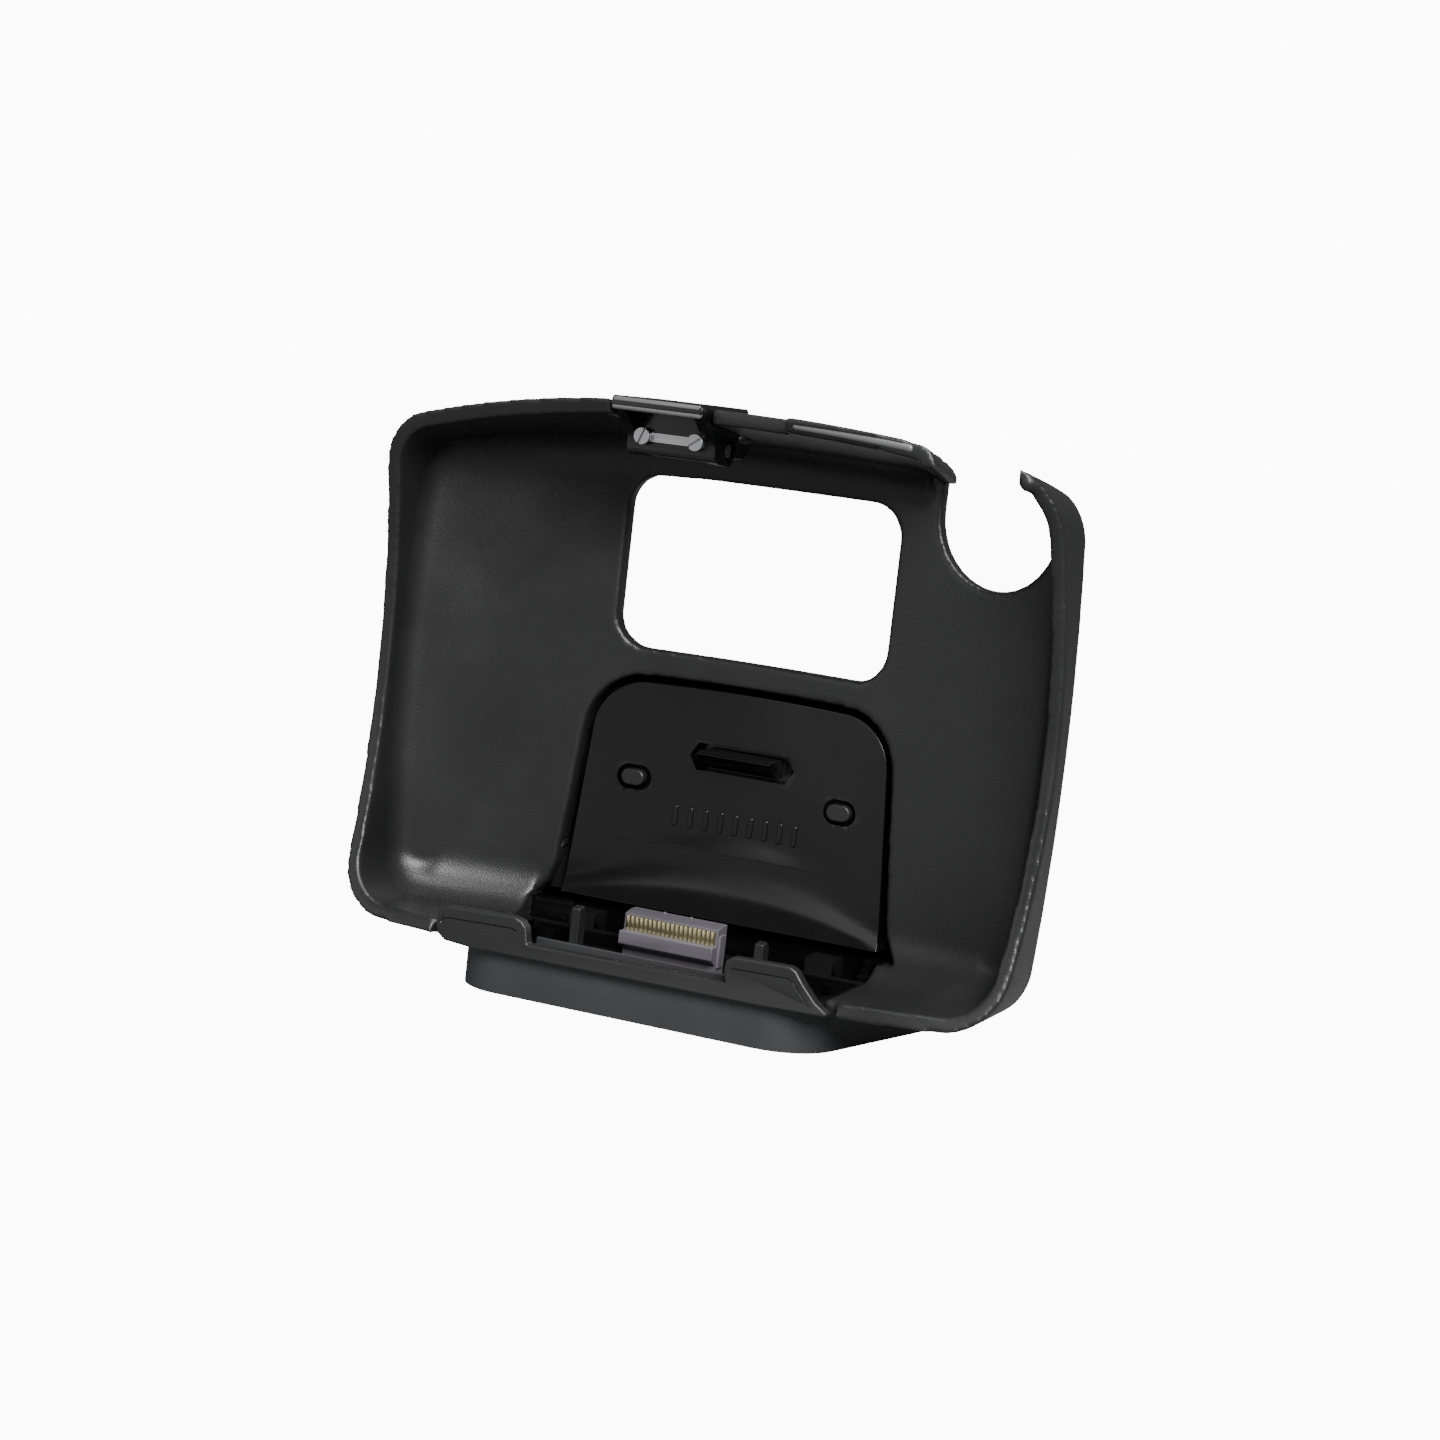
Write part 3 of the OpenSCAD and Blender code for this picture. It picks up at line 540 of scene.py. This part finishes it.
def makeBeads():
    bm = bmesh.new()
    steps = 12
    path = []
    for i in range(steps + 1):
        x = bead["rimFrom"] + (bead["rimTo"] - bead["rimFrom"]) * i / steps
        path.append(Vector((x, bead["rimFront"], shellTop(x, 0) - bead["rimBelow"])))
    rod(bm, path, bead["round"])
    rim = addMesh("rimBead", bm, "cradle", "shell_black", [], flat=50)
    # the rim bead is the shell's own black plastic; its lighter grey is a painted highlight
    rim.data.materials[0] = paintedHighlightGrey
    bm = bmesh.new()
    for z in bead["hoodUp"]:
        path = [Vector((x, bead["hoodFront"], z)) for x in (bead["hoodFrom"], -8, bead["hoodTo"])]
        rod(bm, path, bead["hoodRound"])
    hood = addMesh("hoodBeads", bm, "catch", "gloss_black", [], flat=50)
    # the hood beads are the lever's black plastic; their lighter grey is a painted highlight
    hood.data.materials[0] = paintedHighlightGrey
    bm = bmesh.new()
    corners = [(shadowSheet[x], shadowSheet["front"], shadowSheet[z]) for x, z in
               (("left", "low"), ("right", "low"), ("right", "high"), ("left", "high"))]
    slab(bm, [Vector(p) for p in corners], Vector((0, shadowSheet["thick"], 0)))
    addMesh("paintedShadowSheet", bm, "cradle", "tray_black", [])  # a near-black sheet of painted shadow; it shuts off the sight of the aerial jack


makeBeads()
print("beads made")


dockPlate = {
    "half": 28.6,
    "height": 37.4,
    "shoulder": (17.4, 28.2),
    "shoulderRound": 9,
    "faceRadius": 121,
    "thick": 1.9,
    "flareHeight": 10,
    "flareRound": 14.5,
    "flareBlend": 1.6,
    "columns": 56,
    "edge": 0.75,
    "pocket": ((-9.4, 26.1), (-8, 23.8), (8, 23.8), (9.4, 26.1), (8, 28.4), (-8, 28.4)),
    "studAcross": 18.57,
    "studUp": 21,
    "ringFlat": 0.9,
    "ringRound": 2.1,
    "lineUp": 10.4,
    "lineFrom": -20.4,
    "lineTo": 20.6,
    "lineWide": 0.22,
    "lineDeep": 0.14,
    "ribs": 9,
    "ribPitch": 2.7,
    "ribWide": 0.95,
    "ribTall": 3.6,
    "ribUp": 15.6,
    "ribProud": 0.28,
}


def softMin(a, b, reach):
    near = max(reach - abs(a - b), 0) / reach
    return min(a, b) - near * near * reach / 4


def plateY(x, z):
    face = dishY(x, dockPlate["faceRadius"])
    below = dockPlate["flareHeight"] - z
    r = dockPlate["flareRound"]
    if below > 0:
        flare = math.sqrt(max(0, r * r - below * below)) - r + 4
    else:
        flare = 4 + below * below * 0.12
    return softMin(face, flare, dockPlate["flareBlend"])


def plateSide():
    # right-hand outline from the foot to the end of the shoulder
    cx, cz = dockPlate["shoulder"]
    r = dockPlate["shoulderRound"]
    start = (cx + r * math.cos(math.radians(3)), cz + r * math.sin(math.radians(3)))
    rows = []
    for i in range(24):
        t = i / 24
        rows.append((dockPlate["half"] + (start[0] - dockPlate["half"]) * t, start[1] * t))
    for i in range(13):
        angle = math.radians(3 + 79 * i / 12)
        rows.append((cx + r * math.cos(angle), cz + r * math.sin(angle)))
    return rows


def studOutline(side, flat, r, y):
    points = []
    for i in range(25):
        angle = math.radians(-90 + 180 * i / 24)
        points.append((flat + r * math.cos(angle), r * math.sin(angle)))
    points += [(-x, -z) for x, z in points]
    return [Vector((side * dockPlate["studAcross"] + x, y, dockPlate["studUp"] + z)) for x, z in points]


def makeDockPlate():
    rows = plateSide()
    bm = bmesh.new()
    bmesh.ops.create_grid(bm, x_segments=dockPlate["columns"], y_segments=len(rows) - 1, size=1)
    lift = dockPlate["height"] / rows[-1][1]
    for vert in bm.verts:
        row = round((vert.co.y + 1) / 2 * (len(rows) - 1))
        wide, high = rows[row]
        u = vert.co.x
        x = u * wide
        z = high + high * (lift - 1) * (1 - u * u)
        vert.co = Vector((x, plateY(x, z), z))
    front = bm.faces[:]
    grown = bmesh.ops.extrude_face_region(bm, geom=front)["geom"]
    bmesh.ops.translate(bm, verts=[v for v in grown if isinstance(v, bmesh.types.BMVert)],
                        vec=(0, dockPlate["thick"], 0))
    bmesh.ops.recalc_face_normals(bm, faces=bm.faces)
    rim = sharpEdges(bm, 40, lambda c: c.y < plateY(max(-28, min(28, c.x)), max(0, c.z)) + 0.9)
    bevelEdges(bm, rim, dockPlate["edge"], 5)
    plate = scratch("plateCore", bm)
    tools = bmesh.new()
    slab(tools, [Vector((x, -3, z)) for x, z in dockPlate["pocket"]], Vector((0, 12, 0)))
    for side in (-1, 1):
        slab(tools, studOutline(side, dockPlate["ringFlat"], dockPlate["ringRound"], -3), Vector((0, 12, 0)))
    half = dockPlate["lineWide"] / 2
    rings = []
    for i in range(33):
        x = dockPlate["lineFrom"] + (dockPlate["lineTo"] - dockPlate["lineFrom"]) * i / 32
        y = plateY(x, dockPlate["lineUp"])
        rings.append([Vector((x, y + dy, dockPlate["lineUp"] + dz)) for dy, dz in
                      ((-0.6, -half), (-0.6, half),
                       (dockPlate["lineDeep"], half), (dockPlate["lineDeep"], -half))])
    loft(tools, rings)
    cutter = scratch("plateTools", tools)
    cut(plate, cutter, "DIFFERENCE")
    mesh = settled(plate, "dockPlate")
    bpy.data.objects.remove(plate)
    bpy.data.objects.remove(cutter)
    bm = bmesh.new()
    bm.from_mesh(mesh)
    bmesh.ops.remove_doubles(bm, verts=bm.verts, dist=0.0008)

    def onPocket(c):
        return c.y < plateY(c.x, c.z) + 0.05 and abs(c.x) < 9.6 and 23.6 < c.z < 28.6

    def onRing(c):
        across = abs(abs(c.x) - dockPlate["studAcross"])
        return c.y < plateY(c.x, c.z) + 0.05 and across < 3.2 and abs(c.z - dockPlate["studUp"]) < 2.3

    bevelEdges(bm, sharpEdges(bm, 50, lambda c: onPocket(c) or onRing(c)), 0.22, 3)
    bm.to_mesh(mesh)
    bm.free()
    mesh.transform(spot)
    addPiece("dockPlate", mesh, "cradle", "gloss_black", ["dock_plate"], flat=30)

    # what stands behind the face: the flange and its bosses
    back = scratch("plateBack", nodeCopy("dock_plate"))
    bm = bmesh.new()
    reach = dockPlate["faceRadius"] + dockPlate["thick"] - 0.25
    bmesh.ops.create_cone(bm, cap_ends=True, segments=240, radius1=reach, radius2=reach, depth=120)
    bmesh.ops.translate(bm, verts=bm.verts, vec=(0, shell["dishAxis"], 20))
    drum = scratch("plateDrum", bm)
    cut(back, drum, "DIFFERENCE")
    mesh = settled(back, "dockPlateBack")
    bpy.data.objects.remove(back)
    bpy.data.objects.remove(drum)
    mesh.transform(spot)
    # the flange and its bosses take the near-black tray finish: painted shade in the gap round the plate
    addPiece("dockPlateBack", mesh, "cradle", "tray_black", ["dock_plate"])


def makePlateRibs():
    bm = bmesh.new()
    for i in range(dockPlate["ribs"]):
        x = (i - (dockPlate["ribs"] - 1) / 2) * dockPlate["ribPitch"]
        r = dockPlate["ribWide"] / 2
        straight = dockPlate["ribTall"] / 2 - r
        points = []
        for k in range(25):
            angle = math.radians(180 * k / 24)
            points.append((r * math.cos(angle), straight + r * math.sin(angle)))
        points += [(-px, -pz) for px, pz in points]
        y = plateY(x, dockPlate["ribUp"]) - dockPlate["ribProud"]
        slab(bm, [Vector((x + px, y, dockPlate["ribUp"] + pz)) for px, pz in points], Vector((0, 1, 0)))
    front = sharpEdges(bm, 60, lambda c: c.y < plateY(c.x, dockPlate["ribUp"]) - dockPlate["ribProud"] + 0.1)
    bevelEdges(bm, front, 0.2, 4)
    addMesh("plateRibs", bm, "cradle", "gloss_black", [])


makeDockPlate()
makePlateRibs()
print("dock plate made")


sill = {
    "edge": 0.55,
    "front": -26.4,
    "groove": 0.36,
    "grooveDeep": 0.32,
    "leftGroove": ((-37.2, -3.6), (-36.4, -2.6), (-35.4, -2.35), (-24.3, -2.0), (-23.2, -2.25)),
    "rightGroove": ((14.6, -1.35), (24.0, -1.15), (25.0, -1.6), (26.2, -3.0), (27.6, -4.6)),
}


def grooveTool(points):
    bm = bmesh.new()
    half = sill["groove"] / 2
    rings = []
    for i, (x, z) in enumerate(points):
        ax, az = points[max(0, i - 1)]
        bx, bz = points[min(len(points) - 1, i + 1)]
        long = math.hypot(bx - ax, bz - az)
        nx, nz = -(bz - az) / long * half, (bx - ax) / long * half
        deep = sill["front"] + sill["grooveDeep"]
        out = sill["front"] - 1
        rings.append([Vector((x + nx, out, z + nz)), Vector((x - nx, out, z - nz)),
                      Vector((x - nx * 0.5, deep, z - nz * 0.5)), Vector((x + nx * 0.5, deep, z + nz * 0.5))])
    loft(bm, rings)
    return scratch("grooveTool", bm)


def makeSill():
    bm = nodeCopy("front_sill")
    bmesh.ops.dissolve_limit(bm, angle_limit=math.radians(0.4), verts=bm.verts, edges=bm.edges)
    bevelEdges(bm, sharpEdges(bm, 60), sill["edge"], 4)
    body = scratch("sillCore", bm)
    tools = [grooveTool(sill["leftGroove"]), grooveTool(sill["rightGroove"])]
    for tool in tools:
        cut(body, tool, "DIFFERENCE")
    mesh = settled(body, "frontSill")
    for thing in [body] + tools:
        bpy.data.objects.remove(thing)
    mesh.transform(spot)
    addPiece("frontSill", mesh, "cradle", "shell_black", ["front_sill"], flat=32)


makeSill()
print("sill made")


housing = {"underEdge": 1.0, "under": -13.6}


def makeHousing():
    bm = nodeCopy("lower_housing")
    bmesh.ops.dissolve_limit(bm, angle_limit=math.radians(0.4), verts=bm.verts, edges=bm.edges)
    rim = []
    for edge in bm.edges:
        low = all(abs(v.co.z - housing["under"]) < 0.02 for v in edge.verts)
        wide = any(abs(v.co.x) > 24 or v.co.y < -22 or v.co.y > 14 for v in edge.verts)
        if low and wide and len(edge.link_faces) == 2 and edge.calc_face_angle(0) > 1.2:
            rim.append(edge)
    bevelEdges(bm, rim, housing["underEdge"], 5)
    addMesh("lowerHousing", bm, "cradle", "housing_grey", ["lower_housing"])


makeHousing()
print("housing made")


connector = {
    "middle": -3.9,
    "face": -9.0,
    "paintedGapHalf": 8.05,
    "paintedGapLow": -2.28,
    "paintedGapHigh": 0.12,
    "nubs": (-6.4, -1.6),
    "nubRound": 0.32,
}


def makeConnectorDressing():
    # a dark sheet just behind the contacts' face paints the shade in the gaps between the contacts
    bm = bmesh.new()
    x0, x1 = connector["middle"] - connector["paintedGapHalf"], connector["middle"] + connector["paintedGapHalf"]
    y = connector["face"] - 0.06
    slab(bm, [Vector((x0, y, connector["paintedGapLow"])), Vector((x1, y, connector["paintedGapLow"])),
              Vector((x1, y, connector["paintedGapHigh"])), Vector((x0, y, connector["paintedGapHigh"]))],
         Vector((0, 0.2, 0)))
    paintedGap = addMesh("contactGapShadow", bm, "cradle", "contact_gold", [])
    paintedGap.data.materials[0] = contactGapShadow
    bm = bmesh.new()
    for x in connector["nubs"]:
        ball = bmesh.ops.create_uvsphere(bm, u_segments=20, v_segments=10, radius=connector["nubRound"])
        bmesh.ops.translate(bm, verts=ball["verts"], vec=(x, -6.3, 0.9))
    addMesh("connectorNubs", bm, "cradle", "connector_grey", [])
    strip = softCopy("trayStrip", "tray_strip", "cradle", 0.14)
    strip.data.materials[0] = stripGrey


makeConnectorDressing()
print("connector dressed")


softParts = (
    ("dockTray", "dock_tray", "cradle", 0.25),
    ("studRings", "stud_rings", "cradle", 0.18),
    ("studs", "locating_studs", "cradle", 0.35),
    ("tongue", "latch_tongue", "tongue", 0.3),
    ("guideTabs", "guide_tabs", "cradle", 0.25),
    ("connectorBlock", "connector_body", "cradle", 0.22),
    ("connectorContacts", "connector_contacts", "cradle", 0.06),
    ("catchLever", "catch_lever", "catch", 0.5),
    ("catchStrip", "catch_strip", "catch", 0.1),
    ("catchScrews", "catch_screws", "catch", 0.08),
    ("rearCover", "rear_cover", "cradle", 0.5),
)
for name, nodeName, body, width in softParts:
    softCopy(name, nodeName, body, width)
print("softened parts made:", len(softParts))


studio = {
    "floor": 0.12,
    "floorGlow": 11.0,
    "backdrop": 12.0,
    "room": 0.1,
    "keyPower": 20.0,
    "keyPlace": (0.46, -0.66, 0.56),
    "keySize": 0.45,
    "fillPower": 1.5,
    "fillPlace": (-0.6, -0.7, 0.2),
    "fillSize": 0.6,
    "topPower": 8.0,
    "topPlace": (0.1, -0.2, 0.85),
    "topSize": 0.35,
}


def studioLight():
    bpy.ops.mesh.primitive_plane_add(size=8, location=(0, 0, cadBox[0][2]))
    ground = bpy.context.object
    ground.name = "floor"
    paint = bpy.data.materials.new("floorPaint")
    paint.use_nodes = True
    nodes, links = paint.node_tree.nodes, paint.node_tree.links
    shader = nodes["Principled BSDF"]
    shader.inputs["Base Color"].default_value = (studio["floor"], studio["floor"], studio["floor"], 1)
    shader.inputs["Roughness"].default_value = 0.9
    shader.inputs["Emission Color"].default_value = (1, 1, 1, 1)
    ray = nodes.new("ShaderNodeLightPath")
    glow = nodes.new("ShaderNodeMapRange")
    glow.inputs["To Min"].default_value = 0.1
    glow.inputs["To Max"].default_value = studio["floorGlow"]
    links.new(ray.outputs["Is Camera Ray"], glow.inputs["Value"])
    links.new(glow.outputs["Result"], shader.inputs["Emission Strength"])
    ground.data.materials.append(paint)
    world = bpy.data.worlds.new("room")
    world.use_nodes = True
    nodes, links = world.node_tree.nodes, world.node_tree.links
    ray = nodes.new("ShaderNodeLightPath")
    glow = nodes.new("ShaderNodeMapRange")
    glow.inputs["To Min"].default_value = studio["room"]
    glow.inputs["To Max"].default_value = studio["backdrop"]
    links.new(ray.outputs["Is Camera Ray"], glow.inputs["Value"])
    links.new(glow.outputs["Result"], nodes["Background"].inputs["Strength"])
    nodes["Background"].inputs["Color"].default_value = (1, 1, 1, 1)
    bpy.context.scene.world = world
    for name in ("key", "fill", "top"):
        panel = bpy.data.lights.new(name, "AREA")
        panel.size = studio[name + "Size"]
        panel.energy = studio[name + "Power"]
        lamp = bpy.data.objects.new(name, panel)
        bpy.context.scene.collection.objects.link(lamp)
        lamp.location = studio[name + "Place"]
        lamp.rotation_euler = (Vector((0, 0, 0.02)) - lamp.location).to_track_quat("-Z", "Y").to_euler()


studioLight()
print("studio lit")
